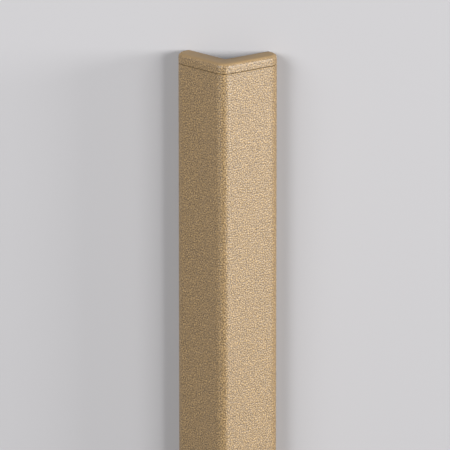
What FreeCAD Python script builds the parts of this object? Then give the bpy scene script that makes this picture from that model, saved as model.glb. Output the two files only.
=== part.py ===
import FreeCAD, Part
import math
import os
import Sketcher

# Corner guard moulding: a clip-on vinyl cover over an aluminium retainer, closed by a moulded top cap.
# It lies on its two wing edges with the nose up. Length runs along Y and the cap is at the +Y end.
# Sections are drawn as one wing in (u, v): u runs along the wall from the wall corner, v stands off the wall.

sizes = {
    # whole guard
    "overall_length": 914.4,
    "leg_width": 50.8,
    "projection": 12.7,
    # cover
    "cover_wall": 2.0,
    "nose_radius": 7.0,
    "foot_height": 1.7,
    "lip_reach": 5.0,
    "lip_wall": 1.5,
    # retainer
    "retainer_wall": 1.8,
    "arch_reach": 4.0,
    "rail_hook": 2.4,
    "screw_hole": 5.2,
    "hole_count": 3,
    "end_margin": 76.2,
    # top cap
    "lid_thickness": 6.3,
    "lid_round": 2.5,
    "tab_wall": 2.0,
    "tab_length": 12.0,
    # fits between the pieces
    "snap_clearance": 0.3,
    "tab_clearance": 0.3,
    "rail_clearance": 1.4,
    "joint_gap": 0.3,
}

document = FreeCAD.newDocument("corner_guard")
sheet = document.addObject("Spreadsheet::Sheet", "sizes")
for row, (alias, value) in enumerate(sizes.items(), 1):
    sheet.set(f"A{row}", alias)
    sheet.set(f"B{row}", str(value))
    sheet.setAlias(f"B{row}", alias)
document.recompute()

# distances used by more than one piece, as sheet expressions and as starting values for the sketches
wall_leg_cell = "(sizes.leg_width - sizes.projection)"
edge_radius_cell = "(sizes.projection - sizes.foot_height)"
arch_face_cell = "(sizes.projection - sizes.cover_wall - sizes.snap_clearance)"
rail_outer_cell = f"({wall_leg_cell} - sizes.lip_reach - sizes.snap_clearance)"
hook_low_cell = "(sizes.lip_wall + sizes.snap_clearance)"
hook_top_cell = f"({hook_low_cell} + sizes.retainer_wall)"
retainer_length_cell = "(sizes.overall_length - sizes.lid_thickness)"
tab_radius_cell = f"({edge_radius_cell} - sizes.cover_wall - sizes.tab_clearance)"

projection = sheet.projection
cover_wall = sheet.cover_wall
retainer_wall = sheet.retainer_wall
wall_leg = sheet.leg_width - projection
edge_radius = projection - sheet.foot_height
nose_radius = sheet.nose_radius
nose_centre = (nose_radius - projection, projection - nose_radius)
edge_centre = (wall_leg - edge_radius, projection - edge_radius)
wall_angle = 45
bisector_angle = 135

origin_point = (-1, 1)
u_axis = -1
start, end, centre = 1, 2, 3
same_place = 1e-6
smallest_cut = 0.01


def point(u, v):
    return FreeCAD.Vector(u, v, 0)


def origin_feature(body, role):
    return [feature for feature in body.Origin.OriginFeatures if feature.Role == role][0]


def new_body(label):
    body = document.addObject("PartDesign::Body", label)
    body.Label = label
    return body


class Outline:
    """A closed outline of one wing, drawn in (u, v) on the plane across the guard."""

    def __init__(self, body, name):
        self.sketch = body.newObject("Sketcher::SketchObject", name)
        self.sketch.AttachmentSupport = [(origin_feature(body, "XZ_Plane"), "")]
        self.sketch.MapMode = "FlatFace"
        turn = FreeCAD.Rotation(FreeCAD.Vector(0, 0, 1), -wall_angle)
        self.sketch.AttachmentOffset = FreeCAD.Placement(FreeCAD.Vector(), turn)

    def line(self, first, last):
        index = self.sketch.addGeometry(Part.LineSegment(point(*first), point(*last)))
        if abs(first[0] - last[0]) < same_place:
            self.fix("Vertical", index)
        elif abs(first[1] - last[1]) < same_place:
            self.fix("Horizontal", index)
        return index

    def run(self, *corners):
        lines = [self.line(first, last) for first, last in zip(corners, corners[1:])]
        for before, after in zip(lines, lines[1:]):
            self.fix("Coincident", before, end, after, start)
        return lines

    def arc(self, middle, radius, first_degrees, last_degrees):
        circle = Part.Circle(point(*middle), FreeCAD.Vector(0, 0, 1), radius)
        first, last = math.radians(first_degrees), math.radians(last_degrees)
        return self.sketch.addGeometry(Part.ArcOfCircle(circle, first, last))

    def fix(self, kind, *operands):
        return self.sketch.addConstraint(Sketcher.Constraint(kind, *operands))

    def size(self, name, kind, *operands, cell):
        index = self.fix(kind, *operands)
        self.sketch.renameConstraint(index, name)
        self.sketch.setExpression(f"Constraints.{name}", cell)

    def across(self, name, element, place, value, cell):
        self.size(name, "DistanceX", *origin_point, element, place, value, cell=cell)

    def height(self, name, element, place, value, cell):
        self.size(name, "DistanceY", *origin_point, element, place, value, cell=cell)

    def radius(self, name, element, value, cell):
        self.size(name, "Radius", element, value, cell=cell)


def on_nose_radius(radius):
    reach = radius / math.sqrt(2)
    return nose_centre[0] - reach, nose_centre[1] + reach


def wing_outline(body, name, inset, inset_cell, foot):
    """The nose arc, flat face and edge arc set in from the outside, closed along wall and bisector.

    The straight lines from the edge arc to the bisector are kept as wall_lines.
    """
    outline = Outline(body, name)
    face = projection - inset
    nose = outline.arc(nose_centre, nose_radius - inset, 90, bisector_angle)
    flat = outline.line((nose_centre[0], face), (edge_centre[0], face))
    edge = outline.arc(edge_centre, edge_radius - inset, 0, 90)
    lines = outline.run((wall_leg - inset, edge_centre[1]), *foot, (0, 0), on_nose_radius(nose_radius - inset))
    bisector = lines[-1]
    outline.fix("Tangent", nose, start, flat, start)
    outline.fix("Tangent", flat, end, edge, end)
    outline.fix("Tangent", edge, start, lines[0], start)
    outline.fix("Coincident", bisector, end, nose, end)
    outline.fix("Coincident", bisector, start, *origin_point)
    outline.fix("Angle", bisector, math.radians(bisector_angle))
    outline.fix("PointOnObject", nose, centre, bisector)
    outline.height("face", flat, start, face, f"sizes.projection - {inset_cell}")
    outline.across("edge", lines[0], start, wall_leg - inset, f"{wall_leg_cell} - {inset_cell}")
    outline.radius("nose", nose, nose_radius - inset, f"sizes.nose_radius - {inset_cell}")
    outline.radius("round", edge, edge_radius - inset, f"{edge_radius_cell} - {inset_cell}")
    outline.wall_lines = lines
    return outline


def pad(body, name, outline, length_cell, away_from_cap):
    feature = body.newObject("PartDesign::Pad", name)
    feature.Profile = outline.sketch
    feature.setExpression("Length", length_cell)
    feature.Reversed = not away_from_cap
    return feature


def check_cut(body, volume_before):
    """A cut that points away from the solid would take nothing out."""
    document.recompute()
    if volume_before - body.Shape.Volume < smallest_cut:
        raise RuntimeError(f"{body.Label}: nothing was cut away")


def mirror_wing(body):
    """The second wing is the mirror image of the first in the plane of the nose."""
    document.recompute()
    mirrored = body.newObject("PartDesign::Mirrored", f"{body.Label}_wings")
    mirrored.TransformMode = "Whole shape"
    mirrored.MirrorPlane = (origin_feature(body, "YZ_Plane"), [""])
    body.Tip = mirrored
    return mirrored


def stand(body, along_cell):
    """The wall corner is lifted until the feet of both wings are on the floor."""
    body.setExpression("Placement.Base.y", along_cell)
    body.setExpression("Placement.Base.z", f"{wall_leg_cell} / sqrt(2)")


# cover: the full wing outline with the inside taken out, leaving a lip along the wall at each foot
cover = new_body("cover")
outer = wing_outline(cover, "cover_outside", 0, "0", [(wall_leg, 0)])
cover_length_cell = f"{retainer_length_cell} - sizes.joint_gap"
pad(cover, "cover_stock", outer, cover_length_cell, False)
document.recompute()
solid_volume = cover.Shape.Volume

lip_end = wall_leg - sheet.lip_reach
lip_corners = [(wall_leg - cover_wall, sheet.lip_wall), (lip_end, sheet.lip_wall), (lip_end, 0)]
inner = wing_outline(cover, "cover_inside", cover_wall, "sizes.cover_wall", lip_corners)
lip_top, lip_side = inner.wall_lines[1:3]
inner.height("lip", lip_top, start, sheet.lip_wall, "sizes.lip_wall")
inner.across("lip_end", lip_side, start, lip_end, f"{wall_leg_cell} - sizes.lip_reach")
hollow = cover.newObject("PartDesign::Pocket", "cover_hollow")
hollow.Profile = inner.sketch
hollow.Type = "ThroughAll"
check_cut(cover, solid_volume)
mirror_wing(cover)
stand(cover, "-sizes.overall_length / 2")

# retainer: base plate on the wall, a hooked rail for the lip, and an arch that backs the nose
retainer = new_body("retainer")
section = Outline(retainer, "retainer_section")
arch_face = projection - cover_wall - sheet.snap_clearance
arch_inside = arch_face - retainer_wall
arch_radius = nose_radius - cover_wall - sheet.snap_clearance
rail_outer = lip_end - sheet.snap_clearance
rail_inner = rail_outer - retainer_wall
hook_low = sheet.lip_wall + sheet.snap_clearance
hook_top = hook_low + retainer_wall
hook_end = rail_outer + sheet.rail_hook
web = sheet.arch_reach
nose_outside = section.arc(nose_centre, arch_radius, 90, bisector_angle)
nose_inside = section.arc(nose_centre, arch_radius - retainer_wall, 90, bisector_angle)
(
    arch_top,
    web_front,
    base_top,
    rail_back,
    hook_roof,
    hook_tip,
    hook_under,
    rail_front,
    wall_face,
    web_back,
    arch_under,
) = section.run(
    (nose_centre[0], arch_face),
    (web, arch_face),
    (web, retainer_wall),
    (rail_inner, retainer_wall),
    (rail_inner, hook_top),
    (hook_end, hook_top),
    (hook_end, hook_low),
    (rail_outer, hook_low),
    (rail_outer, 0),
    (web - retainer_wall, 0),
    (web - retainer_wall, arch_inside),
    (nose_centre[0], arch_inside),
)
nose_cut = section.line(on_nose_radius(arch_radius - retainer_wall), on_nose_radius(arch_radius))
section.fix("Tangent", nose_outside, start, arch_top, start)
section.fix("Tangent", nose_inside, start, arch_under, end)
section.fix("Coincident", nose_inside, centre, nose_outside, centre)
section.fix("Coincident", nose_inside, end, nose_cut, start)
section.fix("Coincident", nose_outside, end, nose_cut, end)
section.fix("Angle", nose_cut, math.radians(bisector_angle))
section.fix("PointOnObject", *origin_point, nose_cut)
section.fix("PointOnObject", nose_outside, centre, nose_cut)
section.radius(
    "nose", nose_outside, arch_radius, "sizes.nose_radius - sizes.cover_wall - sizes.snap_clearance"
)
section.height("arch_face", arch_top, end, arch_face, arch_face_cell)
section.height("arch_inside", arch_under, start, arch_inside, f"{arch_face_cell} - sizes.retainer_wall")
section.across("web_front", web_front, start, web, "sizes.arch_reach")
section.across("web_back", web_back, start, web - retainer_wall, "sizes.arch_reach - sizes.retainer_wall")
section.height("base", base_top, start, retainer_wall, "sizes.retainer_wall")
section.across("rail_inner", rail_back, start, rail_inner, f"{rail_outer_cell} - sizes.retainer_wall")
section.height("hook_top", hook_roof, start, hook_top, hook_top_cell)
section.across("hook_end", hook_tip, start, hook_end, f"{rail_outer_cell} + sizes.rail_hook")
section.height("hook_low", hook_under, start, hook_low, hook_low_cell)
section.across("rail_outer", rail_front, start, rail_outer, rail_outer_cell)
section.fix("PointOnObject", wall_face, start, u_axis)
pad(retainer, "retainer_stock", section, retainer_length_cell, False)
document.recompute()
solid_volume = retainer.Shape.Volume

# screw holes through the base plate, midway between the arch and the rail, drawn on the wall plane
holes = retainer.newObject("Sketcher::SketchObject", "screw_hole_place")
holes.AttachmentSupport = [(origin_feature(retainer, "XY_Plane"), "")]
holes.MapMode = "FlatFace"
wall_turn = FreeCAD.Rotation(FreeCAD.Vector(0, 1, 0), wall_angle)
holes.AttachmentOffset = FreeCAD.Placement(FreeCAD.Vector(), wall_turn)
hole_across = (web + rail_inner) / 2
hole_across_cell = f"(sizes.arch_reach + {rail_outer_cell} - sizes.retainer_wall) / 2"
hole_circle = Part.Circle(point(hole_across, sheet.end_margin), FreeCAD.Vector(0, 0, 1), sheet.screw_hole / 2)
hole = holes.addGeometry(hole_circle)
hole_sizes = (
    ("across", ("DistanceX", *origin_point, hole, centre, hole_across), hole_across_cell),
    ("along", ("DistanceY", *origin_point, hole, centre, sheet.end_margin), "sizes.end_margin"),
    ("bore", ("Diameter", hole, sheet.screw_hole), "sizes.screw_hole"),
)
for name, constraint, cell in hole_sizes:
    index = holes.addConstraint(Sketcher.Constraint(*constraint))
    holes.renameConstraint(index, name)
    holes.setExpression(f"Constraints.{name}", cell)
screw_hole = retainer.newObject("PartDesign::Pocket", "screw_hole")
screw_hole.Profile = holes
screw_hole.setExpression("Length", "sizes.retainer_wall")
screw_hole.Reversed = True
check_cut(retainer, solid_volume)
hole_row = retainer.newObject("PartDesign::LinearPattern", "screw_hole_row")
hole_row.Originals = [screw_hole]
hole_row.Direction = (origin_feature(retainer, "Y_Axis"), [""])
hole_row.setExpression("Length", f"{retainer_length_cell} - 2 * sizes.end_margin")
hole_row.setExpression("Occurrences", "sizes.hole_count")
retainer.Tip = hole_row
mirror_wing(retainer)
stand(retainer, "-sizes.overall_length / 2")

# top cap: a lid flush with the outside of the cover, with a curved tab that slides inside each wing edge
top_cap = new_body("top_cap")
lid = wing_outline(top_cap, "lid_outline", 0, "0", [(wall_leg, 0)])
pad(top_cap, "lid", lid, "sizes.lid_thickness", False)
tab = Outline(top_cap, "tab_outline")
tab_radius = edge_radius - cover_wall - sheet.tab_clearance
tab_low = hook_top + sheet.rail_clearance
outer_low = math.degrees(math.asin((tab_low - edge_centre[1]) / tab_radius))
inner_low = math.degrees(math.asin((tab_low - edge_centre[1]) / (tab_radius - sheet.tab_wall)))
tab_outside = tab.arc(edge_centre, tab_radius, outer_low, 90)
tab_inside = tab.arc(edge_centre, tab_radius - sheet.tab_wall, inner_low, 90)
tab_top = tab.line(
    (edge_centre[0], edge_centre[1] + tab_radius),
    (edge_centre[0], edge_centre[1] + tab_radius - sheet.tab_wall),
)
inner_low_place = edge_centre[0] + (tab_radius - sheet.tab_wall) * math.cos(math.radians(inner_low))
outer_low_place = edge_centre[0] + tab_radius * math.cos(math.radians(outer_low))
tab_end = tab.line((inner_low_place, tab_low), (outer_low_place, tab_low))
tab.fix("Coincident", tab_inside, centre, tab_outside, centre)
tab.fix("Coincident", tab_outside, end, tab_top, start)
tab.fix("Coincident", tab_top, end, tab_inside, end)
tab.fix("Coincident", tab_inside, start, tab_end, start)
tab.fix("Coincident", tab_end, end, tab_outside, start)
tab.fix("PointOnObject", tab_outside, centre, tab_top)
tab.across("middle", tab_outside, centre, edge_centre[0], f"{wall_leg_cell} - {edge_radius_cell}")
tab.height("middle_height", tab_outside, centre, edge_centre[1], "sizes.foot_height")
tab.radius("outside", tab_outside, tab_radius, tab_radius_cell)
tab.radius("inside", tab_inside, tab_radius - sheet.tab_wall, f"{tab_radius_cell} - sizes.tab_wall")
tab.height("low_end", tab_end, start, tab_low, f"{hook_top_cell} + sizes.rail_clearance")
pad(top_cap, "tab", tab, "sizes.tab_length", True)
whole_cap = mirror_wing(top_cap)
document.recompute()


def is_top_outer_edge(edge):
    """True for the lid's top edges, other than the two that lie on the wall."""
    if edge.BoundBox.YMin < sheet.lid_thickness - same_place:
        return False
    middle = edge.valueAt((edge.FirstParameter + edge.LastParameter) / 2)
    return abs(middle.x) + middle.z > same_place


top_edges = [
    f"Edge{number}"
    for number, edge in enumerate(whole_cap.Shape.Edges, 1)
    if is_top_outer_edge(edge)
]
lid_round = top_cap.newObject("PartDesign::Fillet", "lid_round")
lid_round.Base = (whole_cap, top_edges)
lid_round.setExpression("Radius", "sizes.lid_round")
top_cap.Tip = lid_round
stand(top_cap, "sizes.overall_length / 2 - sizes.lid_thickness")

document.recompute()
for item in document.Objects:
    if "Invalid" in item.State or "Error" in item.State:
        raise RuntimeError(f"{item.Label} did not build")

os.makedirs("parts", exist_ok=True)
for body in (cover, retainer, top_cap):
    if body.Shape.isNull() or not body.Shape.isValid():
        raise RuntimeError(f"{body.Label} has no valid shape")
    body.Shape.exportStep(f"parts/{body.Label}.step")
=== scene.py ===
from math import acos, atan2, cos, hypot, pi, radians, sin, sqrt

import bmesh
import bpy
from mathutils import Matrix, Vector


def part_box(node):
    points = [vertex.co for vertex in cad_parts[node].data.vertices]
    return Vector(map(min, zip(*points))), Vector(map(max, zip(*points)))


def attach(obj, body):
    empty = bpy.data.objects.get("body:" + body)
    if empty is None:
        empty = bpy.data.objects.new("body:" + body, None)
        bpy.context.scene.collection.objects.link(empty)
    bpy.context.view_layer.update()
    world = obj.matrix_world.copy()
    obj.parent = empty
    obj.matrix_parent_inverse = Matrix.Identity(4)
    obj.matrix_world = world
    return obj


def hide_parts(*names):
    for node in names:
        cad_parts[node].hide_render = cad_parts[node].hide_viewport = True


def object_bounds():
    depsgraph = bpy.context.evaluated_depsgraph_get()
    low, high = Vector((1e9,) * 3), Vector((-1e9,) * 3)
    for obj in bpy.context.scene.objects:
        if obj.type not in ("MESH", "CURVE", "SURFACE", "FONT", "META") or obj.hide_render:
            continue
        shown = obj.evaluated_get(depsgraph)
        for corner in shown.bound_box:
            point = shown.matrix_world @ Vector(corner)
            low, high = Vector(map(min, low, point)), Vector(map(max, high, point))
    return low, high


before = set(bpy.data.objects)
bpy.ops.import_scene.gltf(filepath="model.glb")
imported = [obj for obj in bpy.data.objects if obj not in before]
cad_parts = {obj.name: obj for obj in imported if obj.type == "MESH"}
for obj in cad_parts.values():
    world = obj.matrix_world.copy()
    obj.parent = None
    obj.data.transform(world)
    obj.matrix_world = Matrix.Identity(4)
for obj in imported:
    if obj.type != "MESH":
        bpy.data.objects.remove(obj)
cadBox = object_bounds()
mm = 0.001
near = 1e-6                     # closer than this counts as the same place
print("frame loaded:", ", ".join(sorted(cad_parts)))

# The guard lies nose up on its two wing edges, with the capped end at +Y.
# Each wing is drawn in (u, v): u along its back from the inner corner, v off the back.
guard = {
    "legWidth": 50.8 * mm,      # outside of the nose to the wing edge
    "standOff": 12.7 * mm,      # back to the outside face
    "noseRadius": 7.0 * mm,
    "footHeight": 1.7 * mm,     # straight foot below the rounded wing edge
    "roundSteps": 18,
}
standOff, noseRadius = guard["standOff"], guard["noseRadius"]
edgeRadius = standOff - guard["footHeight"]
backLeg = guard["legWidth"] - standOff
innerCorner = Vector((0, 0, backLeg / sqrt(2)))
noseCentre = (noseRadius - standOff, standOff - noseRadius)
edgeCentre = (backLeg - edgeRadius, guard["footHeight"])
cutEnd = cadBox[0].y
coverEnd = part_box("cover")[1].y
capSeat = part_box("retainer")[1].y
capTop = cadBox[1].y


def fromWing(u, v, y, side=1):
    return innerCorner + Vector((side * (u + v) / sqrt(2), y, (v - u) / sqrt(2)))


def toWing(co):
    side = 1 if co.x >= 0 else -1
    across, rise = side * co.x, co.z - innerCorner.z
    return side, (across - rise) / sqrt(2), (across + rise) / sqrt(2)


# how far round the outside a point lies from the middle of the nose, and how far under the skin
def unroll(co):
    side, u, v = toWing(co)
    noseArc, edgeArc = noseRadius * pi / 4, edgeRadius * pi / 2
    flat = edgeCentre[0] - noseCentre[0]
    if u < noseCentre[0]:
        du, dv = u - noseCentre[0], v - noseCentre[1]
        return side * noseRadius * (3 * pi / 4 - atan2(dv, du)), noseRadius - hypot(du, dv)
    if u < edgeCentre[0]:
        return side * (noseArc + u - noseCentre[0]), standOff - v
    if v > edgeCentre[1]:
        du, dv = u - edgeCentre[0], v - edgeCentre[1]
        rolled = edgeRadius * (pi / 2 - atan2(dv, du))
        return side * (noseArc + flat + rolled), edgeRadius - hypot(du, dv)
    return side * (noseArc + flat + edgeArc + edgeCentre[1] - v), backLeg - u


def srgb(hexColour):
    channels = [int(hexColour[i:i + 2], 16) / 255 for i in (1, 3, 5)]
    linear = [c / 12.92 if c <= 0.04045 else ((c + 0.055) / 1.055) ** 2.4 for c in channels]
    return (*linear, 1)


def node(tree, kind, links=None, sockets=None, **settings):
    made = tree.nodes.new(kind)
    for name, value in settings.items():
        setattr(made, name, value)
    for name, value in (sockets or {}).items():
        made.inputs[name].default_value = value
    for name, source in (links or {}).items():
        tree.links.new(source, made.inputs[name])
    return made


def newMaterial(name):
    made = bpy.data.materials.new(name)
    made.use_nodes = True
    made.node_tree.nodes.clear()
    return made, made.node_tree


# Rigid PVC, embossed by a roller: satin pebbles, pitted and duller towards the valleys; the
# valleys' darker colour is painted shade in the hollows.
vinyl = {
    "pebble": "#b3925f",
    # painted shade: the darker colour of the grain's hollows stands in for the shade that falls
    # there
    "shadedValley": "#543f1d",
    "plain": "#987c50",         # the same plastic without grain
    "plainHeight": 0.64,        # height of the grain at which its colour is the plain one
    "plainTone": 0.5,           # where that lies between the palest and the darkest pebble
    "pitch": 1.6 * mm,          # pebble to pebble
    "valleyWidth": 0.55 * mm,   # from the line between two pebbles to full height
    "pit": 0.95 * mm,
    "pitRange": (0.3, 0.7),
    "pitShare": 0.5,            # of the whole relief
    "relief": 0.13 * mm,
    "stray": 0.30 * mm,         # how far the pattern wanders from even cells
    "pebbleTone": (0.90, 1.10),
    "mottle": 14 * mm,
    "mottleTone": (0.96, 1.04),
    "topRoughness": 0.44,
    "valleyRoughness": 0.50,
    "plainRoughness": 0.85,     # the cap's flat top, moulded without grain
    "specular": 1.0,
    "ior": 1.53,
}


def embossedVinyl(name, smoothFrom=None):
    made, tree = newMaterial(name)
    skin = node(tree, "ShaderNodeUVMap", uv_map="unrolled").outputs["UV"]
    body = node(tree, "ShaderNodeTexCoord").outputs["Object"]
    perPebble = 1 / vinyl["pitch"]
    wander = node(tree, "ShaderNodeTexNoise", {"Vector": skin}, {"Scale": perPebble, "Detail": 1.0})
    bend = node(tree, "ShaderNodeVectorMath", {0: wander.outputs["Color"]},
                {"Scale": 2 * vinyl["stray"]}, operation="SCALE")   # noise runs from 0 to 1
    skin = node(tree, "ShaderNodeVectorMath", {0: skin, 1: bend.outputs["Vector"]},
                operation="ADD").outputs["Vector"]
    cells = {"Scale": perPebble, "Randomness": 1.0}
    borders = node(tree, "ShaderNodeTexVoronoi", {"Vector": skin}, cells,
                   voronoi_dimensions="2D", feature="DISTANCE_TO_EDGE")
    domes = node(tree, "ShaderNodeMapRange", {"Value": borders.outputs["Distance"]},
                 {"From Max": vinyl["valleyWidth"] / vinyl["pitch"]},
                 interpolation_type="SMOOTHSTEP").outputs["Result"]
    pits = node(tree, "ShaderNodeTexNoise", {"Vector": skin},
                {"Scale": 1 / vinyl["pit"], "Detail": 0.0}, noise_dimensions="2D").outputs["Fac"]
    low, high = vinyl["pitRange"]
    pits = node(tree, "ShaderNodeMapRange", {"Value": pits}, {"From Min": low, "From Max": high},
                interpolation_type="SMOOTHSTEP").outputs["Result"]
    height = node(tree, "ShaderNodeMix", {"A": domes, "B": pits},
                  {"Factor": vinyl["pitShare"]}).outputs["Result"]
    pebbles = node(tree, "ShaderNodeTexVoronoi", {"Vector": skin}, cells,
                   voronoi_dimensions="2D", feature="F1")
    each = node(tree, "ShaderNodeSeparateColor",
                {"Color": pebbles.outputs["Color"]}).outputs["Red"]
    if smoothFrom is not None:      # the grain dies out towards the flat of the cap
        along = node(tree, "ShaderNodeSeparateXYZ", {"Vector": body}).outputs["Y"]
        bare = node(tree, "ShaderNodeMapRange", {"Value": along},
                    {"From Min": smoothFrom, "From Max": capTop},
                    interpolation_type="SMOOTHSTEP").outputs["Result"]
        height = node(tree, "ShaderNodeMix", {"Factor": bare, "A": height},
                      {"B": vinyl["plainHeight"]}).outputs["Result"]
        each = node(tree, "ShaderNodeMix", {"Factor": bare, "A": each},
                    {"B": vinyl["plainTone"]}).outputs["Result"]
    mottle = node(tree, "ShaderNodeTexNoise", {"Vector": body},
                  {"Scale": 1 / vinyl["mottle"], "Detail": 2.0}).outputs["Fac"]
    # the colour runs from the painted shade of the valleys up to the pebble tops
    colour = node(tree, "ShaderNodeMix", {"Factor": height},
                  {"A": srgb(vinyl["shadedValley"]), "B": srgb(vinyl["pebble"])},
                  data_type="RGBA").outputs["Result"]
    for value, (low, high) in ((each, vinyl["pebbleTone"]), (mottle, vinyl["mottleTone"])):
        tone = node(tree, "ShaderNodeMapRange", {"Value": value},
                    {"To Min": low, "To Max": high}).outputs["Result"]
        colour = node(tree, "ShaderNodeMix", {"A": colour, "B": tone}, {"Factor": 1.0},
                      data_type="RGBA", blend_type="MULTIPLY").outputs["Result"]
    dull = node(tree, "ShaderNodeMapRange", {"Value": height},
                {"To Min": vinyl["valleyRoughness"],
                 "To Max": vinyl["topRoughness"]}).outputs["Result"]
    if smoothFrom is not None:
        dull = node(tree, "ShaderNodeMix", {"Factor": bare, "A": dull},
                    {"B": vinyl["plainRoughness"]}).outputs["Result"]
    bump = node(tree, "ShaderNodeBump", {"Height": height},
                {"Strength": 1.0, "Distance": vinyl["relief"]})
    shader = node(tree, "ShaderNodeBsdfPrincipled",
                  {"Base Color": colour, "Roughness": dull, "Normal": bump.outputs["Normal"]},
                  {"IOR": vinyl["ior"], "Specular IOR Level": vinyl["specular"]})
    node(tree, "ShaderNodeOutputMaterial", {"Surface": shader.outputs["BSDF"]})
    return made


# Extruded PVC that was not embossed: smooth satin, with faint die lines along the length.
# Real die lines are finer: these are drawn as coarse as they need to show, and so are the metal's.
plainSkin = {
    "dieLine": 0.9 * mm,
    "run": 250 * mm,            # length over which a line comes and goes
    "relief": 0.03 * mm,
    "tone": (0.93, 1.07),
    "roughness": (0.34, 0.44),
}
# Mill-finish extruded aluminium: pale grey metal with brighter and duller lines along the length.
mill = {
    "colour": "#c9cbcc",
    "dieLine": 0.8 * mm,
    "run": 300 * mm,
    "relief": 0.03 * mm,
    "tone": (0.86, 1.06),
    "roughness": (0.26, 0.52),
}


def dieDrawn(name, colour, finish, sockets):
    made, tree = newMaterial(name)
    body = node(tree, "ShaderNodeTexCoord").outputs["Object"]
    across, along = 1 / finish["dieLine"], 1 / finish["run"]
    stretch = node(tree, "ShaderNodeMapping", {"Vector": body}, {"Scale": (across, along, across)})
    lines = node(tree, "ShaderNodeTexNoise", {"Vector": stretch.outputs["Vector"]},
                 {"Scale": 1.0, "Detail": 3.0}).outputs["Fac"]
    spread = {}
    for part in ("tone", "roughness"):
        low, high = finish[part]
        spread[part] = node(tree, "ShaderNodeMapRange", {"Value": lines},
                            {"To Min": low, "To Max": high}).outputs["Result"]
    tinted = node(tree, "ShaderNodeMix", {"B": spread["tone"]}, {"Factor": 1.0, "A": srgb(colour)},
                  data_type="RGBA", blend_type="MULTIPLY").outputs["Result"]
    bump = node(tree, "ShaderNodeBump", {"Height": lines},
                {"Strength": 1.0, "Distance": finish["relief"]})
    shader = node(tree, "ShaderNodeBsdfPrincipled",
                  {"Base Color": tinted, "Roughness": spread["roughness"],
                   "Normal": bump.outputs["Normal"]}, sockets)
    node(tree, "ShaderNodeOutputMaterial", {"Surface": shader.outputs["BSDF"]})
    return made


# a section with both wings, pulled from one end to the other as sharp-cornered stock
def pullSection(corners, start, end):
    bm = bmesh.new()
    right = [fromWing(*corner, start) for corner in corners.values()]
    left = [fromWing(*corner, start, -1) for corner in list(corners.values())[-2:0:-1]]
    section = bm.faces.new([bm.verts.new(place) for place in right + left])
    pulled = bmesh.ops.extrude_face_region(bm, geom=[section])["geom"]
    moved = [item for item in pulled if isinstance(item, bmesh.types.BMVert)]
    bmesh.ops.translate(bm, vec=(0, end - start, 0), verts=moved)
    bmesh.ops.recalc_face_normals(bm, faces=bm.faces)
    return bm


def roundOver(bm, edges, radius, steps):
    bmesh.ops.bevel(bm, geom=edges, offset=radius, offset_type="OFFSET", affect="EDGES",
                    segments=steps, profile=0.5, material=-1)


def edgesAlong(bm, corner):
    found = []
    for edge in bm.edges:
        lengthwise = abs(edge.verts[0].co.y - edge.verts[1].co.y) > mm
        ends = [toWing(vert.co) for vert in edge.verts]
        if lengthwise and all(hypot(u - corner[0], v - corner[1]) < near for side, u, v in ends):
            found.append(edge)
    return found


def edgesAcross(bm, y):
    return [edge for edge in bm.edges if all(abs(vert.co.y - y) < near for vert in edge.verts)]


def offBack(edge):
    return any(toWing(vert.co)[2] > near for vert in edge.verts)


def toObject(bm, name):
    mesh = bpy.data.meshes.new(name)
    bm.to_mesh(mesh)
    bm.free()
    made = bpy.data.objects.new(name, mesh)
    bpy.context.scene.collection.objects.link(made)
    return made


downward = -0.99                # a normal beyond this along Y faces straight down the length


# Outside faces from lowEnd up, no deeper than given, take the first material with the cap's top.
# All others take the second.
def dressPiece(bm, name, depth, lowEnd, materials, cadNode):
    bm.normal_update()
    unrolled = bm.loops.layers.uv.new("unrolled")
    for face in bm.faces:
        onTop = all(abs(vert.co.y - capTop) < near for vert in face.verts)
        skin = face.normal.y > downward and all(
            unroll(vert.co)[1] < depth and vert.co.y > lowEnd - near for vert in face.verts)
        face.smooth = True
        face.material_index = 0 if onTop or skin else 1
        for loop in face.loops:
            loop[unrolled].uv = (unroll(loop.vert.co)[0], loop.vert.co.y)
    piece = toObject(bm, name)
    for material in materials:
        piece.data.materials.append(material)
    piece.modifiers.new("evenNormals", "WEIGHTED_NORMAL")
    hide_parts(cadNode)
    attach(piece, "root")
    print(name, len(piece.data.polygons), "faces")


# Cover: a hollow section with a lip turned in at each foot, sawn square at both ends.
cover = {
    "wall": 2.0 * mm,
    "lipReach": 5.0 * mm,
    "lipWall": 1.5 * mm,
    "easedEdge": 0.3 * mm,      # arrises and saw cuts, lightly broken
    "easedSteps": 2,
    "skinDepth": 0.33 * mm,     # the grain runs out just past the broken edges
}


def buildCover():
    inside = standOff - cover["wall"]
    lipEnd = backLeg - cover["lipReach"]
    corners = {
        "noseOutside": (-standOff, standOff),
        "edgeOutside": (backLeg, standOff),
        "foot": (backLeg, 0),
        "lipFoot": (lipEnd, 0),
        "lipTop": (lipEnd, cover["lipWall"]),
        "lipRoot": (backLeg - cover["wall"], cover["lipWall"]),
        "edgeInside": (backLeg - cover["wall"], inside),
        "noseInside": (-inside, inside),
    }
    rounds = {
        "noseOutside": noseRadius,
        "noseInside": noseRadius - cover["wall"],
        "edgeOutside": edgeRadius,
        "edgeInside": edgeRadius - cover["wall"],
    }
    bm = pullSection(corners, cutEnd, coverEnd)
    for name, radius in rounds.items():
        roundOver(bm, edgesAlong(bm, corners[name]), radius, guard["roundSteps"])
    arrises = edgesAcross(bm, cutEnd) + edgesAcross(bm, coverEnd)
    for name in ("foot", "lipFoot", "lipTop"):
        arrises += edgesAlong(bm, corners[name])
    roundOver(bm, arrises, cover["easedEdge"], cover["easedSteps"])
    return bm


plain = dieDrawn("extruded_vinyl_plain", vinyl["plain"], plainSkin, {"IOR": vinyl["ior"]})
dressPiece(buildCover(), "cover_shell", cover["skinDepth"], cutEnd,
           (embossedVinyl("embossed_vinyl_cover"), plain), "cover")

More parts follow.
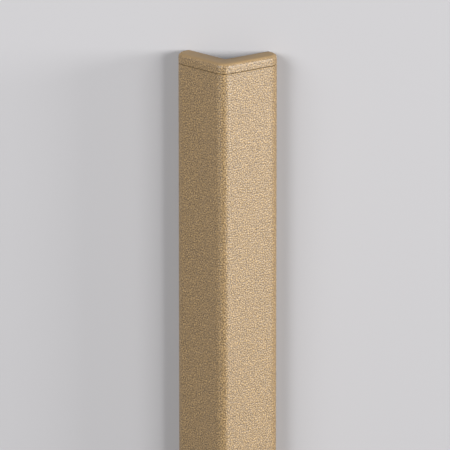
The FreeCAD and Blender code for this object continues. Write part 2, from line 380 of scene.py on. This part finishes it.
# Top cap: a flat lid over the whole section, rounded over to the show faces,
# with a curved tab inside each wing edge.
cap = {
    "topRound": 2.5 * mm,
    "topSteps": 6,
    "grainFade": 1.75 * mm,     # below the top, where the grain starts to die out
    "skinDepth": 2.75 * mm,     # takes in the whole rounded top edge
    "easedEdge": 0.2 * mm,
    "easedSteps": 2,
    "tabWall": 2.0 * mm,
    "tabClearance": 0.3 * mm,
    "tabLow": 5.0 * mm,         # lower end of the tab, off the back
    "tabRoot": 1.0 * mm,        # sunk into the lid before the two are joined
    "tabSteps": 12,
}


def buildLid():
    corners = {
        "noseOutside": (-standOff, standOff),
        "edgeOutside": (backLeg, standOff),
        "foot": (backLeg, 0),
        "innerCorner": (0, 0),
    }
    bm = pullSection(corners, capSeat, capTop)
    roundOver(bm, edgesAlong(bm, corners["noseOutside"]), noseRadius, guard["roundSteps"])
    roundOver(bm, edgesAlong(bm, corners["edgeOutside"]), edgeRadius, guard["roundSteps"])
    topEdges = [edge for edge in edgesAcross(bm, capTop) if offBack(edge)]
    roundOver(bm, topEdges, cap["topRound"], cap["topSteps"])
    seatEdges = [edge for edge in edgesAcross(bm, capSeat) if offBack(edge)]
    roundOver(bm, seatEdges, cap["easedEdge"], cap["easedSteps"])
    return bm


# each tab is a rectangle swept round inside the wing edge
def buildTabs():
    bm = bmesh.new()
    outer = edgeRadius - cover["wall"] - cap["tabClearance"]
    inner = outer - cap["tabWall"]
    low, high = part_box("top_cap")[0].y, capSeat + cap["tabRoot"]
    sweep = acos((cap["tabLow"] - edgeCentre[1]) / outer)
    for side in (1, -1):
        corners = [(outer, low), (inner, low), (inner, high), (outer, high)]
        end = bm.faces.new([bm.verts.new(fromWing(edgeCentre[0], edgeCentre[1] + radius, y, side))
                            for radius, y in corners])
        bmesh.ops.spin(bm, geom=[end], cent=fromWing(*edgeCentre, 0, side), axis=(0, side, 0),
                       angle=sweep, steps=cap["tabSteps"])
    bmesh.ops.recalc_face_normals(bm, faces=bm.faces)
    return bm


def joinShapes(first, second):
    whole, added = toObject(first, "joinFirst"), toObject(second, "joinSecond")
    union = whole.modifiers.new("union", "BOOLEAN")
    union.operation = "UNION"
    union.object = added
    joined = bmesh.new()
    joined.from_object(whole, bpy.context.evaluated_depsgraph_get())
    for used in (whole, added):
        bpy.data.meshes.remove(used.data)
    return joined


capSkin = embossedVinyl("moulded_vinyl_cap", smoothFrom=capTop - cap["grainFade"])
dressPiece(joinShapes(buildLid(), buildTabs()), "cap_moulding", cap["skinDepth"], capSeat,
           (capSkin, plain), "top_cap")

# Retainer: the construction's own shape, with its metal
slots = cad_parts["retainer"].data.materials
slots.clear()
slots.append(dieDrawn("mill_aluminium_extruded", mill["colour"], mill, {"Metallic": 1.0}))
print("retainer finished")

# pale floor, matt all over
ground = {"halfWidth": 8.0, "colour": "#b7b6b8", "roughness": 1.0, "specular": 0.0}
floorShape = bmesh.new()
bmesh.ops.create_grid(floorShape, x_segments=1, y_segments=1, size=ground["halfWidth"])
floor = toObject(floorShape, "floor")
floorPaint, tree = newMaterial("matt_pale_floor")
shader = node(tree, "ShaderNodeBsdfPrincipled", None,
              {"Base Color": srgb(ground["colour"]), "Roughness": ground["roughness"],
               "Specular IOR Level": ground["specular"]})
node(tree, "ShaderNodeOutputMaterial", {"Surface": shader.outputs["BSDF"]})
floor.data.materials.append(floorPaint)

# soft studio light: a low panel on the right for the sheen, a higher one for the nose,
# and one above the left wing; places and sizes in metres
lights = {
    "rightPanel": {"place": (4.3, 0.95, 1.2), "aim": (0, 0.2, 0.03), "size": (1.0, 1.5),
                   "watts": 165},
    "frontPanel": {"place": (2.4, 0.95, 2.4), "aim": (0, 0.2, 0.03), "size": (1.05, 1.05),
                   "watts": 78},
    "leftPanel": {"place": (-1.6, 1.3, 1.9), "aim": (0, 0.2, 0), "size": (1.4, 1.4),
                  "watts": 53},
}
for name, spec in lights.items():
    lamp = bpy.data.lights.new(name, "AREA")
    lamp.shape = "RECTANGLE"
    lamp.size, lamp.size_y = spec["size"]
    lamp.energy = spec["watts"]
    stand = bpy.data.objects.new(name, lamp)
    stand.location = spec["place"]
    towards = Vector(spec["aim"]) - Vector(spec["place"])
    stand.rotation_euler = towards.to_track_quat("-Z", "Y").to_euler()
    bpy.context.scene.collection.objects.link(stand)

studio = {"colour": "#e6e6e8", "strength": 0.24}
world = bpy.data.worlds.new("studio")
world.use_nodes = True
sky = world.node_tree.nodes["Background"]
sky.inputs["Color"].default_value = srgb(studio["colour"])
sky.inputs["Strength"].default_value = studio["strength"]
bpy.context.scene.world = world
bpy.context.scene.view_settings.view_transform = "Standard"
print("floor and", len(lights), "lamps placed")

# camera above the guard, turned to its right and raised towards the capped end
camera = {
    "lens": 443.0,
    "sensor": 36.0,
    "distance": 3.513,          # metres
    "turn": 4.88,               # degrees
    "rise": 14.22,              # degrees
    "aimRight": 1.4 * mm,
    "aimBelowSeam": 97.4 * mm,
}
turn, rise = radians(camera["turn"]), radians(camera["rise"])
aim = fromWing(-standOff, standOff, capSeat - camera["aimBelowSeam"])
aim += Vector((camera["aimRight"], 0, 0))
back = Vector((sin(turn) * cos(rise), sin(rise), cos(turn) * cos(rise)))
right = Vector((0, 1, 0)).cross(back).normalized()
turned = Matrix((right, back.cross(right), back)).transposed().to_4x4()
lens = bpy.data.cameras.new("photoView")
lens.lens = camera["lens"]
lens.sensor_width = camera["sensor"]
viewer = bpy.data.objects.new("photoView", lens)
viewer.matrix_world = Matrix.Translation(aim + camera["distance"] * back) @ turned
bpy.context.scene.collection.objects.link(viewer)
bpy.context.scene.camera = viewer
print("camera placed")
